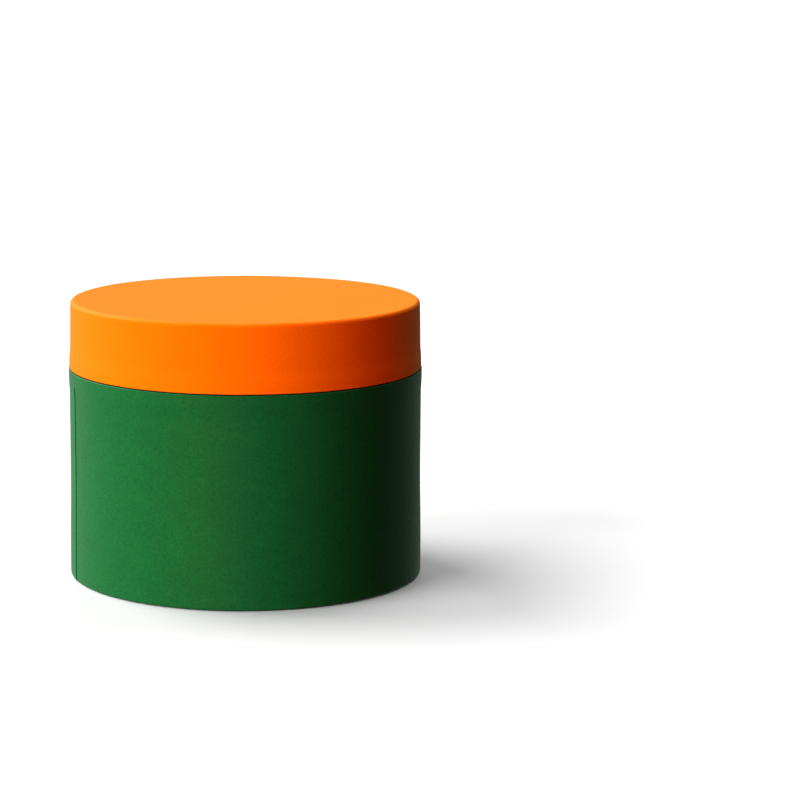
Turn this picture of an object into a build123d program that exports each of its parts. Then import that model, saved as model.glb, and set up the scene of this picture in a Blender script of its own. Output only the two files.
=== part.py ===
"""Round hat box: a board base and a lift-off board lid, both covered in leatherette.

The lid slides down over a neck, a board collar that stands up out of the base, until its
ceiling rests on the neck's rim. A narrow gap is then left between the lid and the base.
Both walls are eased outward a little beside that gap, where the cover is turned in over
the board's edge and lies doubled inside it. Above the gap the neck and the lid lean
inward together, and the base's foot is swelled a little by the floor pressed into it.

Millimetres, +Z up. The origin is the middle of the underside, on the surface it stands on.
"""

import os
from math import cos, pi, radians, sin

from build123d import *

# Overall size
base_radius = 173.0  # base wall at its waist, outside its cover
total_height = 272.5  # floor to the top of the lid
lid_foot = 206.4
shut_gap = 1.0  # between the lid's foot and the top edge of the base
lean = 1.0  # how far the lid and the neck lean in, from the lid's foot to its top

# Materials, as thicknesses
cover = 0.7  # leatherette
base_board = 3.0  # wall of the base
floor_board = 2.5
lid_board = 1.7  # band of the lid
lid_top_thickness = 2.5  # top board of the lid
neck_thickness = 1.5
lining = 0.4  # suede paper
lined_card = 1.0  # card discs faced with the lining
wadding = 1.2  # under the cover of the lid's top
foot_sheet = 0.6  # leatherette sheet that the box stands on

# Fits and edges
slip = 0.3  # gap between the neck and the lid, all round
pad_gap = 0.2  # gap round each card disc
foot_round = 2.0  # bottom edge of the base
top_round = 4.0  # top edge of the lid
rim_round = 0.9  # rim of the neck, over its lining

# Heights between which the walls ease outward
swell = 1.0  # how far the base wall swells out at its foot
swell_low = 10.0
swell_high = 120.0
base_ease_low = 178.0
base_ease_high = 200.0
lid_ease_low = 213.0
lid_ease_high = 230.0

# Reach of the turned-in cover and of the linings
foot_turn_in = 15.0
underside_inset = 2.0
neck_foot = 167.0
lid_lining_foot = 209.5

# Lap seam of the base cover
seam_angle = 201.0  # from +X, so it is on the -X side, 21 degrees round to the front
lap_width = 14.0
lap_rise = 0.6  # the outer end of the cover, over the inner one
lap_bite = 0.3

# Radii and heights that follow
ease = cover  # the doubled cover pushes the board out by its own thickness
joint = lid_foot - shut_gap
base_bore = base_radius - cover - base_board
neck_inside = base_bore - 2 * lining - neck_thickness
lid_lining_radius = base_bore + slip
lid_bore = lid_lining_radius + lining
lid_radius = lid_bore + lid_board + cover
board_foot = foot_sheet + cover
floor_top = board_foot + floor_board
cover_inside_top = total_height - cover
wadding_foot = cover_inside_top - wadding
lid_band_top = wadding_foot - lid_top_thickness
ceiling = lid_band_top - lined_card

os.makedirs("parts", exist_ok=True)

upright = Vector(0, 1)
slanting = Vector(-lean, total_height - lid_foot)


def leaning(radius, height):
    """A section point on a wall that has that radius at the lid's foot and leans in above."""
    return (radius - lean * (height - lid_foot) / (total_height - lid_foot), height)


def halfway(start, end):
    return ((start[0] + end[0]) / 2, (start[1] + end[1]) / 2)


def eased_line(start, end, along=upright):
    """Two equal arcs that ease a wall from start up to end, and run along it at both."""
    TangentArc(start, halfway(start, end), tangent=along)
    TangentArc(end, halfway(start, end), tangent=-along)


def base_lower_side(radius, foot, head):
    """One face of the base wall, from its swelled foot up to a height in its waist."""
    Line((radius + swell, foot), (radius + swell, swell_low))
    eased_line((radius + swell, swell_low), (radius, swell_high))
    Line((radius, swell_high), (radius, head))


def base_side(radius, foot, head):
    """One face of the whole base wall, which widens again below its head."""
    base_lower_side(radius, foot, base_ease_low)
    eased_line((radius, base_ease_low), (radius + ease, base_ease_high))
    Line((radius + ease, base_ease_high), (radius + ease, head))


def lid_side(radius, foot, head):
    """One face of the lid band: wide at its foot, eased inward, and leaning all the way."""
    Line(leaning(radius + ease, foot), leaning(radius + ease, lid_ease_low))
    eased_line(leaning(radius + ease, lid_ease_low), leaning(radius, lid_ease_high), slanting)
    Line(leaning(radius, lid_ease_high), leaning(radius, head))


# Base wall: a rolled board tube
foot_centre = (base_radius + swell - foot_round, foot_sheet + foot_round)
base_wall_head = joint - cover
with BuildPart() as base_wall_board:
    with BuildSketch(Plane.XZ):
        with BuildLine():
            Line((base_bore + swell, board_foot), (foot_centre[0], board_foot))
            CenterArc(foot_centre, foot_round - cover, 270, 90)
            base_side(base_radius - cover, foot_centre[1], base_wall_head)
            Line((base_radius, base_wall_head), (base_bore + ease, base_wall_head))
            base_side(base_bore, board_foot, base_wall_head)
        make_face()
    revolve(axis=Axis.Z)
base_wall_board.part.label = "base_wall_board"
export_step(base_wall_board.part, "parts/base_wall_board.step")

# Base floor: a board disc pressed and glued inside the foot of the wall
with BuildPart() as base_floor_board:
    with BuildSketch(Plane.XY.offset(board_foot)):
        Circle(base_bore + swell)
    extrude(amount=floor_board)
base_floor_board.part.label = "base_floor_board"
export_step(base_floor_board.part, "parts/base_floor_board.step")

# Base cover: one sheet round the wall, turned in over the top edge and under the foot.
# Inside the wall it ends where there is half its thickness of room beside the neck.
foot_turn_radius = base_radius - foot_turn_in
base_fold = (base_radius + ease - cover, joint - cover)
base_inner_fold = (base_bore + cover, joint - cover)
base_turn_end = halfway((base_bore, base_ease_low), (base_bore + ease, base_ease_high))
with BuildPart() as base_cover:
    with BuildSketch(Plane.XZ):
        with BuildLine():
            Line((foot_turn_radius, foot_sheet), (foot_centre[0], foot_sheet))
            CenterArc(foot_centre, foot_round, 270, 90)
            base_side(base_radius, foot_centre[1], joint - cover)
            CenterArc(base_fold, cover, 0, 90)
            Line((base_fold[0], joint), (base_inner_fold[0], joint))
            CenterArc(base_inner_fold, cover, 90, 90)
            Polyline(
                (base_bore, joint - cover), (base_bore, base_turn_end[1]), base_turn_end
            )
            TangentArc((base_bore + ease, base_ease_high), base_turn_end, tangent=-upright)
            Polyline((base_bore + ease, base_ease_high), base_inner_fold, base_fold)
            base_side(base_radius - cover, foot_centre[1], joint - cover)
            CenterArc(foot_centre, foot_round - cover, 270, 90)
            Polyline(
                (foot_centre[0], board_foot),
                (foot_turn_radius, board_foot),
                (foot_turn_radius, foot_sheet),
            )
        make_face()
    revolve(axis=Axis.Z)
    # The lap: the cover's outer end lies over its inner one and is pared down to nothing
    lap_angle = lap_width / base_radius * 180 / pi
    lap_run = (
        (foot_centre[1], base_radius + swell),
        (swell_low, base_radius + swell),
        (swell_high, base_radius),
        (base_ease_low, base_radius),
    )
    for lap_height, wall_radius in lap_run:
        with BuildSketch(Plane.XY.offset(lap_height)):
            with BuildLine():
                lap_foot = CenterArc(
                    (0, 0), wall_radius - lap_bite, seam_angle - lap_angle, lap_angle
                )
                lap_tip = (wall_radius + lap_rise) * Vector(
                    cos(radians(seam_angle)), sin(radians(seam_angle))
                )
                Line(lap_foot @ 1, lap_tip)
                Line(lap_tip, lap_foot @ 0)
            make_face()
    loft(ruled=True)
base_cover.part.label = "base_cover"
export_step(base_cover.part, "parts/base_cover.step")

# Fill card: levels the underside inside the turned-in cover
with BuildPart() as base_fill_card:
    with BuildSketch(Plane.XY.offset(foot_sheet)):
        Circle(foot_turn_radius)
    extrude(amount=cover)
base_fill_card.part.label = "base_fill_card"
export_step(base_fill_card.part, "parts/base_fill_card.step")

# Underside sheet: hides the turn-in, and is what the box stands on
with BuildPart() as underside_sheet:
    with BuildSketch(Plane.XY):
        Circle(foot_centre[0] - underside_inset)
    extrude(amount=foot_sheet)
underside_sheet.part.label = "underside_sheet"
export_step(underside_sheet.part, "parts/underside_sheet.step")


def neck_section(outside, inside, rim):
    """The neck's section, upright up to the lid's foot and leaning above it."""
    Polyline(
        (outside, neck_foot),
        (outside, lid_foot),
        leaning(outside, rim),
        leaning(inside, rim),
        (inside, lid_foot),
        (inside, neck_foot),
        (outside, neck_foot),
    )


# Neck: a thinner board collar glued inside the base wall
with BuildPart() as neck_board:
    with BuildSketch(Plane.XZ):
        with BuildLine():
            neck_section(base_bore - lining, neck_inside + lining, ceiling - lining)
        make_face()
    revolve(axis=Axis.Z)
    fillet(neck_board.faces().sort_by(Axis.Z)[-1].edges(), rim_round - lining)
neck_board.part.label = "neck_board"
export_step(neck_board.part, "parts/neck_board.step")

# Neck lining: folded over the rim and glued down both faces of the neck
with BuildPart() as neck_lining:
    with BuildSketch(Plane.XZ):
        with BuildLine():
            neck_section(base_bore, neck_inside, ceiling)
        make_face()
    revolve(axis=Axis.Z)
    fillet(neck_lining.faces().sort_by(Axis.Z)[-1].edges(), rim_round)
    add(neck_board.part, mode=Mode.SUBTRACT)
neck_lining.part.label = "neck_lining"
export_step(neck_lining.part, "parts/neck_lining.step")

# Wall lining: from the floor up to the foot of the neck
with BuildPart() as base_wall_lining:
    with BuildSketch(Plane.XZ):
        with BuildLine():
            base_lower_side(base_bore, floor_top, neck_foot)
            Line((base_bore, neck_foot), (base_bore - lining, neck_foot))
            base_lower_side(base_bore - lining, floor_top, neck_foot)
            Line((base_bore - lining + swell, floor_top), (base_bore + swell, floor_top))
        make_face()
    revolve(axis=Axis.Z)
base_wall_lining.part.label = "base_wall_lining"
export_step(base_wall_lining.part, "parts/base_wall_lining.step")

# Floor pad: a card disc faced with the lining
with BuildPart() as floor_pad:
    with BuildSketch(Plane.XY.offset(floor_top)):
        Circle(base_bore + swell - lining - pad_gap)
    extrude(amount=lined_card)
floor_pad.part.label = "floor_pad"
export_step(floor_pad.part, "parts/floor_pad.step")

# Lid band: a rolled board tube, closed above by the top board
with BuildPart() as lid_band_board:
    with BuildSketch(Plane.XZ):
        with BuildLine():
            Line(
                leaning(lid_bore + ease, lid_foot + cover),
                leaning(lid_radius, lid_foot + cover),
            )
            lid_side(lid_radius - cover, lid_foot + cover, lid_band_top)
            Line(leaning(lid_radius - cover, lid_band_top), leaning(lid_bore, lid_band_top))
            lid_side(lid_bore, lid_foot + cover, lid_band_top)
        make_face()
    revolve(axis=Axis.Z)
lid_band_board.part.label = "lid_band_board"
export_step(lid_band_board.part, "parts/lid_band_board.step")

# Lid top and its wadding share one rounded edge, so they are cut from one rounded disc
top_edge = leaning(lid_radius, total_height - top_round)
top_centre = (top_edge[0] - top_round, top_edge[1])


def rounded_disc_section():
    """Half the section of what fills the lid above its band, inside the cover."""
    Polyline(
        (top_centre[0], cover_inside_top),
        (0, cover_inside_top),
        (0, lid_band_top),
        leaning(lid_radius - cover, lid_band_top),
        (top_edge[0] - cover, top_edge[1]),
    )
    CenterArc(top_centre, top_round - cover, 0, 90)


with BuildPart() as lid_top_board:
    with BuildSketch(Plane.XZ):
        with BuildLine():
            rounded_disc_section()
        make_face()
    revolve(axis=Axis.Z)
    split(bisect_by=Plane.XY.offset(wadding_foot), keep=Keep.BOTTOM)
lid_top_board.part.label = "lid_top_board"
export_step(lid_top_board.part, "parts/lid_top_board.step")

with BuildPart() as lid_top_wadding:
    with BuildSketch(Plane.XZ):
        with BuildLine():
            rounded_disc_section()
        make_face()
    revolve(axis=Axis.Z)
    split(bisect_by=Plane.XY.offset(wadding_foot), keep=Keep.TOP)
lid_top_wadding.part.label = "lid_top_wadding"
export_step(lid_top_wadding.part, "parts/lid_top_wadding.step")

# Lid cover: moulded over the top and down the band, and turned in at the foot like the base's
lid_fold = leaning(lid_radius + ease - cover, lid_foot + cover)
lid_inner_fold = leaning(lid_bore + cover, lid_foot + cover)
lid_turn_end = halfway(
    leaning(lid_bore + ease, lid_ease_low), leaning(lid_bore, lid_ease_high)
)
with BuildPart() as lid_cover:
    with BuildSketch(Plane.XZ):
        with BuildLine():
            Polyline((0, cover_inside_top), (0, total_height), (top_centre[0], total_height))
            CenterArc(top_centre, top_round, 0, 90)
            lid_side(lid_radius, lid_foot + cover, top_edge[1])
            CenterArc(lid_fold, cover, 270, 90)
            Line((lid_fold[0], lid_foot), (lid_inner_fold[0], lid_foot))
            CenterArc(lid_inner_fold, cover, 180, 90)
            Polyline(
                (lid_inner_fold[0] - cover, lid_foot + cover),
                leaning(lid_bore, lid_turn_end[1]),
                lid_turn_end,
            )
            TangentArc(leaning(lid_bore + ease, lid_ease_low), lid_turn_end, tangent=slanting)
            Polyline(leaning(lid_bore + ease, lid_ease_low), lid_inner_fold, lid_fold)
            lid_side(lid_radius - cover, lid_foot + cover, top_edge[1])
            CenterArc(top_centre, top_round - cover, 0, 90)
            Line((top_centre[0], cover_inside_top), (0, cover_inside_top))
        make_face()
    revolve(axis=Axis.Z)
lid_cover.part.label = "lid_cover"
export_step(lid_cover.part, "parts/lid_cover.step")

# Lid band lining: laid over the turned-in edge of the cover
with BuildPart() as lid_band_lining:
    with BuildSketch(Plane.XZ):
        with BuildLine():
            Polyline(
                leaning(lid_lining_radius, lid_lining_foot),
                leaning(lid_lining_radius, lid_band_top),
                leaning(lid_bore, lid_band_top),
                leaning(lid_bore, lid_lining_foot),
                leaning(lid_lining_radius, lid_lining_foot),
            )
        make_face()
    revolve(axis=Axis.Z)
lid_band_lining.part.label = "lid_band_lining"
export_step(lid_band_lining.part, "parts/lid_band_lining.step")

# Lid ceiling: a card disc faced with the lining, which comes to rest on the neck's rim
with BuildPart() as lid_ceiling_card:
    with BuildSketch(Plane.XY.offset(ceiling)):
        Circle(leaning(lid_lining_radius, lid_band_top)[0] - pad_gap)
    extrude(amount=lined_card)
lid_ceiling_card.part.label = "lid_ceiling_card"
export_step(lid_ceiling_card.part, "parts/lid_ceiling_card.step")
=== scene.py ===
"""Round hat box: a green base and an orange lift-off lid, board covered in leatherette.

The file follows the box as it is made: the base's cover and boards, the lined neck that
stands up out of it, and then the lid. The floor and the studio's lights come last.
Metres, +Z up, with the origin in the middle of the box's underside.
"""

from math import cos, pi, radians, sin

import bpy
import numpy as np
from mathutils import Matrix, Vector


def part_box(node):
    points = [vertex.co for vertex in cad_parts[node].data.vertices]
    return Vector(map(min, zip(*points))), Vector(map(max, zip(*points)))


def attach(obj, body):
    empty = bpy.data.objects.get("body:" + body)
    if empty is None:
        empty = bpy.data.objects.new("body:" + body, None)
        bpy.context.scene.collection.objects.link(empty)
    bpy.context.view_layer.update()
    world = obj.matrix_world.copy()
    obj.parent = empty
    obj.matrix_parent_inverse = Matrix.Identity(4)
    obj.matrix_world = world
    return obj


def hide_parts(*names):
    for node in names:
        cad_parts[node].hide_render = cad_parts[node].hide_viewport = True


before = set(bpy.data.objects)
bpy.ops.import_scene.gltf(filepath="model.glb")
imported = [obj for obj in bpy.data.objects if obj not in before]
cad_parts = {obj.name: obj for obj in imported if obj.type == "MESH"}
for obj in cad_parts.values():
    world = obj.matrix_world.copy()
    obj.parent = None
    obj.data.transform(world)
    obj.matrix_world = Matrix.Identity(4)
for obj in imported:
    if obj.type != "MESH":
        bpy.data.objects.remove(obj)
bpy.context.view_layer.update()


# ---- Camera
# A long lens stands a little above the box and to its right, and looks slightly down,
# so the box is left of the middle and its top shows as a thin ellipse.

camera_place = (0.15240, -2.62449, 0.64250)
camera_pitch = radians(10.167)
camera_roll = radians(0.435)

camera_data = bpy.data.cameras.new("camera")
camera_data.sensor_width = 36.0
camera_data.lens = 121.26
camera = bpy.data.objects.new("camera", camera_data)
camera.matrix_world = (
    Matrix.Translation(camera_place)
    @ Matrix.Rotation(pi / 2 - camera_pitch, 4, "X")
    @ Matrix.Rotation(camera_roll, 4, "Z")
)
bpy.context.scene.collection.objects.link(camera)
bpy.context.scene.camera = camera
bpy.context.scene.view_settings.view_transform = "Standard"


# ---- Base cover
# One sheet of green leatherette is glued round the board wall. It is turned in over the
# wall's top edge and under its foot, and its outer end lies over the inner one in a lap.

cover = 0.0007  # thickness of the leatherette, so the wall is wider where it lies doubled
base_board = 0.0030
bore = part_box("neck_lining")[1].x
base_radius = bore + base_board + cover  # outside the wall at its waist
foot_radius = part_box("base_cover")[1].x
foot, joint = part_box("base_cover")[0].z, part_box("base_cover")[1].z
foot_round = 0.002
swell = (0.010, 0.120)  # heights between which the wall draws in from its swelled foot
base_ease = (0.178, 0.200)  # and between which it widens beside the doubled cover
under_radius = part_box("base_fill_card")[1].x

seam = radians(201.0)
lap_width = 0.014
lap_rise = 0.0006
lap_cut = 0.00012  # the sheet's cut end is slightly rounded over
lap_groove = 0.0003  # and beside it the surface dips to the sheet below
groove_width = 0.0012
lap_head = (0.189, 0.195)  # between these heights the press has flattened the lap


def smooth(t):
    """0 before 0, 1 after 1, and an even S between."""
    t = np.clip(t, 0.0, 1.0)
    return t * t * (3 - 2 * t)


def line(start, end, steps, proud=0.0):
    """Section points from start up to end, closer together near both ends. proud is how much
    of the surface's own unevenness they take."""
    t = ((1 - np.cos(pi * np.arange(steps) / steps)) / 2)[:, None]
    across_up = np.array(start) + t * (np.array(end) - np.array(start))
    return np.column_stack([across_up, np.full(steps, proud)])


def arc(centre, radius, turn_from, turn_to, steps, proud=(0.0, 0.0)):
    """Section points on an arc, from one turn to another in degrees up from outward."""
    t = np.arange(steps) / steps
    turn = np.radians(turn_from + t * (turn_to - turn_from))
    across = centre[0] + radius * np.cos(turn)
    up = centre[1] + radius * np.sin(turn)
    return np.column_stack([across, up, proud[0] + t * (proud[1] - proud[0])])


def eased(start, end, steps, proud=0.0):
    """Section points on the soft S by which a wall passes from one radius to another."""
    t = np.arange(steps) / steps
    s = np.where(t < 0.5, 2 * t**2, 1 - 2 * (1 - t) ** 2)
    across = start[0] + s * (end[0] - start[0])
    up = start[1] + t * (end[1] - start[1])
    return np.column_stack([across, up, np.full(steps, proud)])


def turned(name, section, angles, unevenness):
    """A closed mesh: the section carried round the box's axis. A section that starts and
    ends on the axis closes there in two single points."""
    run = np.roll(section, -1, 0) - np.roll(section, 1, 0)
    facing = np.column_stack([run[:, 1], -run[:, 0]])
    facing /= np.linalg.norm(facing, axis=1)[:, None]
    on_axis = section[0, 0] == 0
    if on_axis:
        poles = [(0, 0, section[0, 1]), (0, 0, section[-1, 1])]
        section, facing = section[1:-1], facing[1:-1]
    angle, radius = np.meshgrid(angles, section[:, 0], indexing="ij")
    height = np.broadcast_to(section[:, 1], angle.shape)
    out = section[:, 2] * unevenness(angle, height, radius)
    across = radius + out * facing[:, 0]
    up = height + out * facing[:, 1]
    points = np.stack([across * np.cos(angle), across * np.sin(angle), up], -1)
    points = points.reshape(-1, 3).tolist()
    here = np.arange(angle.size).reshape(angle.shape)
    beside = np.roll(here, -1, 0)
    quads = np.stack([here, beside, np.roll(beside, -1, 1), np.roll(here, -1, 1)], -1)
    faces = quads.reshape(-1, 4).tolist()
    if on_axis:
        faces = quads[:, :-1].reshape(-1, 4).tolist()
        first, last = len(points), len(points) + 1
        faces += [(b, a, first) for a, b in zip(here[:, 0].tolist(), beside[:, 0].tolist())]
        faces += [(a, b, last) for a, b in zip(here[:, -1].tolist(), beside[:, -1].tolist())]
        points += poles
    mesh = bpy.data.meshes.new(name)
    mesh.from_pydata(points, [], faces)
    mesh.shade_smooth()
    piece = bpy.data.objects.new(name, mesh)
    bpy.context.scene.collection.objects.link(piece)
    return piece


def hand_laid(angle, height, amount):
    """The slight unevenness of a rolled board wall under a glued cover."""
    return amount * (
        0.40 * np.sin(3 * angle + 0.6)
        + 0.30 * np.sin(7 * angle + 31 * height + 1.9)
        + 0.20 * np.sin(13 * angle - 52 * height + 4.1)
        + 0.15 * np.sin(5 * angle + 88 * height + 2.7)
    )


def angles_about(seam_at, radius, reach, turns):
    """Angles all the way round, even but for the many close ones at a lap seam."""
    even = np.arange(turns) * 2 * pi / turns
    at_cut = np.array([-3.0, -1.5, -0.8, -0.4, 0.0, 0.4, 0.8, 1.6, 3.0, 5.0, 8.0]) * lap_cut
    over_flap = -reach * np.array([0.04, 0.07, 0.12, 0.2, 0.3, 0.4, 0.55, 0.7, 0.85, 1.0])
    near = seam_at + np.concatenate([over_flap, at_cut]) / radius
    clear = (even < near.min() - 0.003) | (even > near.max() + 0.003)
    return np.sort(np.concatenate([even[clear], near]))


def lap(angle, radius, seam_at, reach, rise):
    """How proud the surface stands by a lap seam: it swells over the inner end of the sheet,
    drops at the cut outer end, and dips a little beside it."""
    past = ((angle - seam_at + pi) % (2 * pi) - pi) * radius
    flap = rise * smooth(1 + past / reach)
    dip = lap_groove * smooth(1 - past / groove_width)
    cut = smooth(past / (2 * lap_cut) + 0.5)
    return flap * (1 - cut) - dip * cut


def base_unevenness(angle, height, radius):
    pressed = smooth((height - lap_head[0]) / (lap_head[1] - lap_head[0]))
    seam_lap = lap(angle, base_radius, seam, lap_width, lap_rise)
    return hand_laid(angle, height, 0.00010) + (1 - pressed) * seam_lap


inner = base_radius - cover  # the face of the cover that is glued to the wall
round_centre = (foot_radius - foot_round, foot + foot_round)
turn_end = (base_ease[0] + base_ease[1]) / 2
base_cover = turned(
    "base_cover_leatherette",
    np.concatenate([
        line((under_radius, foot), (round_centre[0], foot), 6),
        arc(round_centre, foot_round, -90, 0, 10, (0.0, 1.0)),
        line((foot_radius, round_centre[1]), (foot_radius, swell[0]), 6, 1.0),
        eased((foot_radius, swell[0]), (base_radius, swell[1]), 24, 1.0),
        line((base_radius, swell[1]), (base_radius, base_ease[0]), 30, 1.0),
        eased((base_radius, base_ease[0]), (base_radius + cover, base_ease[1]), 24, 1.0),
        line((base_radius + cover, base_ease[1]), (base_radius + cover, joint - cover), 8, 1.0),
        arc((base_radius, joint - cover), cover, 0, 90, 8, (1.0, 0.0)),
        line((base_radius, joint), (bore + cover, joint), 4),
        arc((bore + cover, joint - cover), cover, 90, 180, 8),
        line((bore, joint - cover), (bore, turn_end), 6),
        line((bore, turn_end), (bore + cover / 2, turn_end), 1),
        line((bore + cover / 2, turn_end), (bore + cover, base_ease[1]), 3),
        line((bore + cover, base_ease[1]), (bore + cover, joint - cover), 3),
        line((bore + cover, joint - cover), (inner + cover, joint - cover), 3),
        line((inner + cover, joint - cover), (inner + cover, base_ease[1]), 3),
        eased((inner + cover, base_ease[1]), (inner, base_ease[0]), 12),
        line((inner, base_ease[0]), (inner, swell[1]), 8),
        eased((inner, swell[1]), (foot_radius - cover, swell[0]), 12),
        line((foot_radius - cover, swell[0]), (foot_radius - cover, round_centre[1]), 3),
        arc(round_centre, foot_round - cover, 0, -90, 6),
        line((round_centre[0], foot + cover), (under_radius, foot + cover), 4),
        line((under_radius, foot + cover), (under_radius, foot), 1),
    ]),
    angles_about(seam, base_radius, lap_width, 240),
    base_unevenness,
)


def noise(material, size, detail, roughness=0.5):
    """A noise texture with features of about that size, in metres, fixed to the piece."""
    nodes, links = material.node_tree.nodes, material.node_tree.links
    texture = nodes.new("ShaderNodeTexNoise")
    texture.inputs["Scale"].default_value = 1 / size
    texture.inputs["Detail"].default_value = detail
    texture.inputs["Roughness"].default_value = roughness
    links.new(nodes["place"].outputs["Object"], texture.inputs["Vector"])
    return texture.outputs["Fac"]


def spread(material, value, low, high, new_low, new_high):
    """That value, taken from one range to another and held within it."""
    nodes, links = material.node_tree.nodes, material.node_tree.links
    step = nodes.new("ShaderNodeMapRange")
    for socket, number in zip(step.inputs[1:5], (low, high, new_low, new_high)):
        socket.default_value = number
    links.new(value, step.inputs["Value"])
    return step.outputs["Result"]


def tinted(material, colour, by, shade):
    """The colour, blended towards colour * shade where by is 1."""
    nodes, links = material.node_tree.nodes, material.node_tree.links
    mix = nodes.new("ShaderNodeMix")
    mix.data_type, mix.blend_type = "RGBA", "MULTIPLY"
    if isinstance(colour, bpy.types.NodeSocket):
        links.new(colour, mix.inputs[6])
    else:
        mix.inputs[6].default_value = (*colour, 1.0)
    mix.inputs[7].default_value = (*shade, 1.0)
    links.new(by, mix.inputs[0])
    return mix.outputs[2]


def combined(material, first, first_share, second, second_share):
    """The sum of those shares of two values."""
    nodes, links = material.node_tree.nodes, material.node_tree.links
    parts = []
    for value, share in ((first, first_share), (second, second_share)):
        part = nodes.new("ShaderNodeMath")
        part.operation = "MULTIPLY"
        part.inputs[1].default_value = share
        links.new(value, part.inputs[0])
        parts.append(part.outputs[0])
    total = nodes.new("ShaderNodeMath")
    links.new(parts[0], total.inputs[0])
    links.new(parts[1], total.inputs[1])
    return total.outputs[0]


def bumped(material, height, distance):
    """Raises the surface by height, to that distance in metres, in the shader alone."""
    nodes, links = material.node_tree.nodes, material.node_tree.links
    bump = nodes.new("ShaderNodeBump")
    bump.inputs["Strength"].default_value = 1.0
    bump.inputs["Distance"].default_value = distance
    links.new(height, bump.inputs["Height"])
    links.new(bump.outputs["Normal"], nodes["shader"].inputs["Normal"])


def blank(name, roughness, specular):
    """A new material with its shader, and the place on the piece that textures read."""
    material = bpy.data.materials.new(name)
    material.use_nodes = True
    nodes = material.node_tree.nodes
    nodes["Principled BSDF"].name = "shader"
    nodes["shader"].inputs["Roughness"].default_value = roughness
    nodes["shader"].inputs["Specular IOR Level"].default_value = specular
    nodes.new("ShaderNodeTexCoord").name = "place"
    return material


def leatherette(name, colour, pebble, depth, speckle_and_crease_shade, dullness):
    """Coated cloth with a fine pebble embossed: grains of about that size with faint creases
    between them, specks of darker colour, painted shade that darkens the creases, and a duller
    sheen in them."""
    material = blank(name, dullness, 0.18)
    nodes, links = material.node_tree.nodes, material.node_tree.links
    grains = nodes.new("ShaderNodeTexVoronoi")
    grains.feature = "SMOOTH_F1"
    grains.inputs["Scale"].default_value = 1 / pebble
    grains.inputs["Smoothness"].default_value = 0.35
    links.new(nodes["place"].outputs["Object"], grains.inputs["Vector"])
    crease = spread(material, grains.outputs["Distance"], 0.25, 0.75, 0.0, 1.0)
    fine = noise(material, pebble * 0.4, 2)
    bumped(material, combined(material, crease, -0.6, fine, 0.3), depth)
    specks = spread(material, noise(material, pebble * 1.8, 3, 0.6), 0.35, 0.65, 0.0, 1.0)
    cloud = spread(material, noise(material, 0.03, 3), 0.35, 0.65, 0.0, 1.0)
    tint = tinted(material, colour, specks, (1 - speckle_and_crease_shade,) * 3)
    tint = tinted(material, tint, cloud, (1 - speckle_and_crease_shade / 3,) * 3)
    # Painted shade: the colour is darkened in the grain's creases, where shade would fall.
    tint = tinted(material, tint, crease, (1 - speckle_and_crease_shade / 2,) * 3)
    links.new(tint, nodes["shader"].inputs["Base Color"])
    dull = spread(material, crease, 0.0, 1.0, dullness - 0.06, dullness + 0.06)
    links.new(dull, nodes["shader"].inputs["Roughness"])
    return material


green_leatherette = leatherette(
    "green_leatherette",
    colour=(0.0050, 0.153, 0.035),
    pebble=0.0013,
    depth=0.00010,
    speckle_and_crease_shade=0.24,
    dullness=0.42,
)
base_cover.data.materials.append(green_leatherette)
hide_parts("base_cover")
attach(base_cover, "base")


# ---- Underside sheet
# A disc of the same leatherette is glued on last, over the fill card and the cover's
# turned-in edge. It hides both, and is what the box stands on.

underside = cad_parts["underside_sheet"]
underside.data.materials.clear()
underside.data.materials.append(green_leatherette)


# ---- Boards
# The box's stiffness is grey board: rolled tubes for the walls and the neck, and pressed
# discs for the floor and the lid's top. Its cut edges and faces show paper fibres.


def grey_board(name):
    """Recycled board: grey with darker and lighter flecks, and long soft fibres."""
    material = blank(name, 0.9, 0.2)
    nodes, links = material.node_tree.nodes, material.node_tree.links
    fibre = noise(material, 0.0009, 4, 0.7)
    fleck = spread(material, noise(material, 0.0022, 2), 0.62, 0.72, 0.0, 1.0)
    tint = tinted(material, (0.30, 0.285, 0.25), fibre, (0.75, 0.75, 0.75))
    tint = tinted(material, tint, fleck, (0.45, 0.42, 0.40))
    links.new(tint, nodes["shader"].inputs["Base Color"])
    links.new(spread(material, fibre, 0.3, 0.7, 0.85, 0.97), nodes["shader"].inputs["Roughness"])
    bumped(material, fibre, 0.00008)
    return material


board = grey_board("grey_board")
for node in (
    "base_wall_board",
    "base_floor_board",
    "base_fill_card",
    "neck_board",
    "lid_band_board",
    "lid_top_board",
):
    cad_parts[node].data.materials.clear()
    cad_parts[node].data.materials.append(board)


# ---- Neck lining
# Charcoal suede paper is folded over the rim of the neck board and glued down both its
# faces. Its ends lap at the back, where the lid hides them when the box is shut.

lining = 0.0004
neck_board = 0.0015
lid_foot, lid_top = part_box("lid_cover")[0].z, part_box("lid_cover")[1].z
lean = 0.001  # how far the neck and the lid lean in, from the lid's foot to its top
neck_foot, neck_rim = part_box("neck_lining")[0].z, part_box("neck_lining")[1].z
neck_inside = bore - 2 * lining - neck_board
rim_round = 0.0009
neck_seam = radians(84.0)
lining_lap = 0.010
lining_rise = 0.00015


def leaned(section):
    """The section drawn in towards the axis, more and more above the lid's foot."""
    section = np.concatenate(section)
    risen = np.maximum(section[:, 1] - lid_foot, 0) / (lid_top - lid_foot)
    section[:, 0] *= 1 - risen * lean / base_radius
    return section


def neck_unevenness(angle, height, radius):
    shown = smooth((height - joint) / 0.002)
    seam_lap = lap(angle, bore, neck_seam, lining_lap, lining_rise)
    return shown * (hand_laid(angle, height, 0.00006) + seam_lap)


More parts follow.
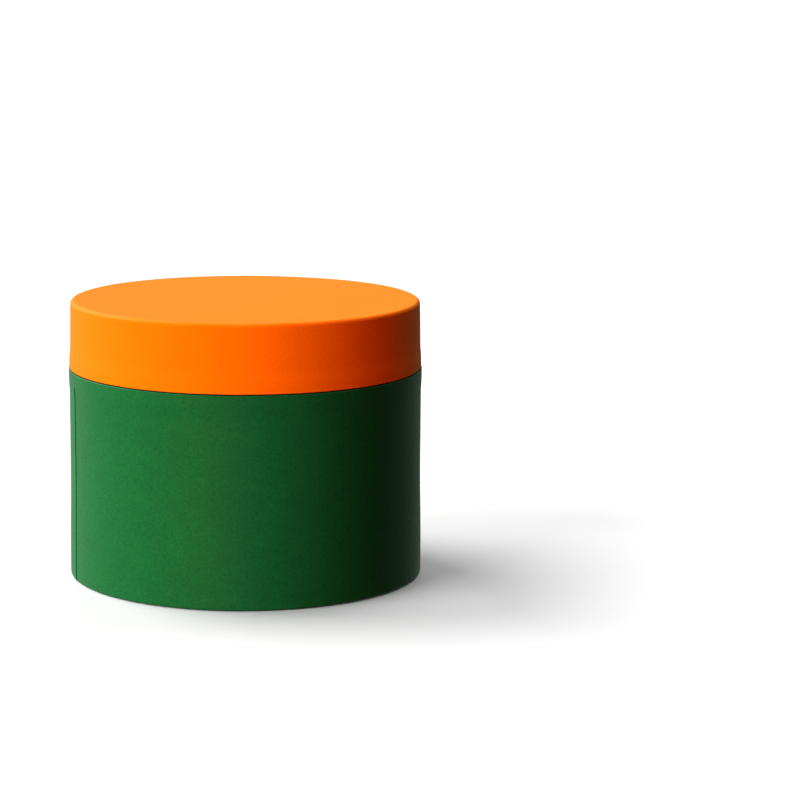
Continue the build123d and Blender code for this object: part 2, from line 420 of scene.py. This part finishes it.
card_out, card_in = bore - lining, neck_inside + lining
rim = neck_rim - rim_round
neck_lining = turned(
    "neck_suede_lining",
    leaned([
        line((bore, neck_foot), (bore, lid_foot), 6),
        line((bore, lid_foot), (bore, rim), 20, 1.0),
        arc((bore - rim_round, rim), rim_round, 0, 90, 8, (1.0, 0.3)),
        line((bore - rim_round, neck_rim), (neck_inside + rim_round, neck_rim), 4, 0.3),
        arc((neck_inside + rim_round, rim), rim_round, 90, 180, 8, (0.3, 1.0)),
        line((neck_inside, rim), (neck_inside, lid_foot), 20, 1.0),
        line((neck_inside, lid_foot), (neck_inside, neck_foot), 6),
        line((neck_inside, neck_foot), (card_in, neck_foot), 1),
        line((card_in, neck_foot), (card_in, lid_foot), 4),
        line((card_in, lid_foot), (card_in, rim), 6),
        arc((card_in + rim_round - lining, rim), rim_round - lining, 180, 90, 4),
        arc((card_out - rim_round + lining, rim), rim_round - lining, 90, 0, 4),
        line((card_out, rim), (card_out, lid_foot), 6),
        line((card_out, lid_foot), (card_out, neck_foot), 4),
        line((card_out, neck_foot), (bore, neck_foot), 1),
    ]),
    angles_about(neck_seam, bore, lining_lap, 200),
    neck_unevenness,
)


def suede_paper(name):
    """Flocked paper: deep charcoal, matt, with a short nap that lies unevenly and catches
    a little light at a low angle."""
    material = blank(name, 0.95, 0.12)
    nodes, links = material.node_tree.nodes, material.node_tree.links
    nodes["shader"].inputs["Sheen Weight"].default_value = 0.35
    nodes["shader"].inputs["Sheen Roughness"].default_value = 0.45
    nap = noise(material, 0.0005, 4, 0.7)
    brushed = spread(material, noise(material, 0.018, 3, 0.6), 0.35, 0.65, 0.0, 1.0)
    tint = tinted(material, (0.042, 0.039, 0.036), nap, (0.6, 0.6, 0.6))
    tint = tinted(material, tint, brushed, (0.80, 0.80, 0.82))
    links.new(tint, nodes["shader"].inputs["Base Color"])
    links.new(spread(material, nap, 0.3, 0.7, 0.88, 1.0), nodes["shader"].inputs["Roughness"])
    bumped(material, nap, 0.00010)
    return material


suede = suede_paper("charcoal_suede")
neck_lining.data.materials.append(suede)
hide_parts("neck_lining")
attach(neck_lining, "base")


# ---- Inner linings
# The same suede paper lines the base's wall and the lid's band, and faces the two card
# discs that are pressed in last, on the base's floor and up against the lid's top.

for node in ("base_wall_lining", "floor_pad", "lid_band_lining", "lid_ceiling_card"):
    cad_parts[node].data.materials.clear()
    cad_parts[node].data.materials.append(suede)


# ---- Lid cover
# The lid's orange leatherette is moulded in one piece over the wadded top and down the
# band, so it has no seam outside. It is turned in under the band's foot, like the base's.

slip = 0.0003  # gap between the neck and the lid, all round
lid_board = 0.0017
lid_bore = bore + slip + lining
lid_radius = lid_bore + lid_board + cover
lid_inner = lid_radius - cover
lid_ease = (0.213, 0.230)
lid_turn_end = (lid_ease[0] + lid_ease[1]) / 2
fold = lid_foot + cover
top_round = 0.004
top_centre = (lid_radius - top_round, lid_top - top_round)


def lid_unevenness(angle, height, radius):
    return smooth(radius / lid_radius) * hand_laid(angle, height + radius, 0.00012)


lid_cover = turned(
    "lid_cover_leatherette",
    leaned([
        line((0.0, lid_top - cover), (top_centre[0], lid_top - cover), 8),
        arc(top_centre, top_round - cover, 90, 0, 8),
        line((lid_inner, top_centre[1]), (lid_inner, lid_ease[1]), 8),
        eased((lid_inner, lid_ease[1]), (lid_inner + cover, lid_ease[0]), 12),
        line((lid_inner + cover, lid_ease[0]), (lid_inner + cover, fold), 3),
        line((lid_inner + cover, fold), (lid_bore + cover, fold), 3),
        line((lid_bore + cover, fold), (lid_bore + cover, lid_ease[0]), 3),
        line((lid_bore + cover, lid_ease[0]), (lid_bore + cover / 2, lid_turn_end), 3),
        line((lid_bore + cover / 2, lid_turn_end), (lid_bore, lid_turn_end), 1),
        line((lid_bore, lid_turn_end), (lid_bore, fold), 6),
        arc((lid_bore + cover, fold), cover, 180, 270, 8),
        line((lid_bore + cover, lid_foot), (lid_radius, lid_foot), 4),
        arc((lid_radius, fold), cover, -90, 0, 8, (0.0, 1.0)),
        line((lid_radius + cover, fold), (lid_radius + cover, lid_ease[0]), 8, 1.0),
        eased((lid_radius + cover, lid_ease[0]), (lid_radius, lid_ease[1]), 24, 1.0),
        line((lid_radius, lid_ease[1]), (lid_radius, top_centre[1]), 20, 1.0),
        arc(top_centre, top_round, 0, 90, 16, (1.0, 1.0)),
        line((top_centre[0], lid_top), (0.0, lid_top), 32, 1.0),
        np.array([[0.0, lid_top, 0.0]]),
    ]),
    np.arange(288) * 2 * pi / 288,
    lid_unevenness,
)
orange_leatherette = leatherette(
    "orange_leatherette",
    colour=(0.95, 0.206, 0.001),
    pebble=0.0011,
    depth=0.00005,
    speckle_and_crease_shade=0.09,
    dullness=0.60,
)
orange_shader = orange_leatherette.node_tree.nodes["shader"]
orange_shader.inputs["Specular Tint"].default_value = (1.0, 0.45, 0.0, 1.0)
lid_cover.data.materials.append(orange_leatherette)
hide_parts("lid_cover")
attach(lid_cover, "lid")


# ---- Lid wadding
# A thin disc of polyester wadding lies on the top board, glued down at its middle. The
# cover is drawn over it, which softens the lid's top and its edge.

wadding = blank("wadding", 0.95, 0.2)
fluff = noise(wadding, 0.0016, 5, 0.7)
wadding.node_tree.links.new(
    tinted(wadding, (0.80, 0.79, 0.76), fluff, (0.8, 0.8, 0.8)),
    wadding.node_tree.nodes["shader"].inputs["Base Color"],
)
bumped(wadding, fluff, 0.0004)
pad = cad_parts["lid_top_wadding"]
pad.data.materials.clear()
pad.data.materials.append(wadding)


# ---- Floor
# A plain pale studio floor of matt paint, flat and with no joints. It reaches so far back
# that no edge of it shows behind the box.

floor_reach = 30.0
floor_mesh = bpy.data.meshes.new("floor")
floor_corners = [(-1, -1), (1, -1), (1, 1), (-1, 1)]
floor_mesh.from_pydata(
    [(x * floor_reach, y * floor_reach, 0.0) for x, y in floor_corners], [], [(0, 1, 2, 3)]
)
floor = bpy.data.objects.new("floor", floor_mesh)
bpy.context.scene.collection.objects.link(floor)
floor_paint = blank("floor_paint", 0.9, 0.0)
floor_paint.node_tree.nodes["shader"].inputs["Base Color"].default_value = (0.8, 0.8, 0.8, 1.0)
floor_mesh.materials.append(floor_paint)
floor.visible_diffuse = False
floor.visible_glossy = False


# ---- Lights
# Large soft boxes stand far off: two keys on the left, a weaker fill behind, and a warm
# glow from the front, like a coloured wall's, that falls on the covers and not the floor.
# Only the high key on the left, and the room itself, show as a sheen.

lit_by_glow = bpy.data.collections.new("lit_by_glow")
for piece in (base_cover, lid_cover):
    lit_by_glow.objects.link(piece)


def soft_box(name, turn, height, strength, colour=(1.0, 1.0, 1.0), sheen=False):
    """turn is in degrees from the left towards the front, height in degrees above level."""
    lamp = bpy.data.lights.new(name, "SUN")
    lamp.angle = radians(50.0)  # how wide the soft box looks from the hat box
    lamp.energy = strength
    lamp.color = colour
    light = bpy.data.objects.new(name, lamp)
    side, up = radians(turn), radians(height)
    towards = Vector((-cos(side) * cos(up), -sin(side) * cos(up), sin(up)))
    light.rotation_euler = towards.to_track_quat("Z", "Y").to_euler()
    light.visible_glossy = sheen
    bpy.context.scene.collection.objects.link(light)
    return light


soft_box("key_front_left", 33, 20, 4.10)
soft_box("key_left", -30, 40, 3.55, sheen=True)
soft_box("fill_back", -110, 50, 1.6)
glow = soft_box("glow_front", 70, 10, 3.30, (1.0, 0.13, 0.0))
glow.light_linking.receiver_collection = lit_by_glow

# The room: white where it is seen, dim as light, and mirrored more brightly on the left
world = bpy.data.worlds.new("studio")
world.use_nodes = True
bpy.context.scene.world = world
nodes, links = world.node_tree.nodes, world.node_tree.links
ray = nodes.new("ShaderNodeLightPath")
seen = nodes["Background"]
seen.inputs["Color"].default_value = (1.0, 1.0, 1.0, 1.0)
lit = nodes.new("ShaderNodeBackground")
lit.inputs["Color"].default_value = (1.0, 1.0, 1.0, 1.0)
lit.inputs["Strength"].default_value = 0.015
mirrored = nodes.new("ShaderNodeBackground")
mirrored.inputs["Color"].default_value = (1.0, 1.0, 1.0, 1.0)
around = nodes.new("ShaderNodeTexCoord")
split = nodes.new("ShaderNodeSeparateXYZ")
brighter_left = nodes.new("ShaderNodeMapRange")
for socket, number in zip(brighter_left.inputs[1:5], (-1.0, 1.0, 0.68, 0.06)):
    socket.default_value = number
links.new(around.outputs["Generated"], split.inputs[0])
links.new(split.outputs["X"], brighter_left.inputs["Value"])
links.new(brighter_left.outputs["Result"], mirrored.inputs["Strength"])
blend = lit
for shown, rays in ((mirrored, "Is Glossy Ray"), (seen, "Is Camera Ray")):
    mix = nodes.new("ShaderNodeMixShader")
    links.new(ray.outputs[rays], mix.inputs[0])
    links.new(blend.outputs[0], mix.inputs[1])
    links.new(shown.outputs[0], mix.inputs[2])
    blend = mix
links.new(blend.outputs[0], nodes["World Output"].inputs["Surface"])
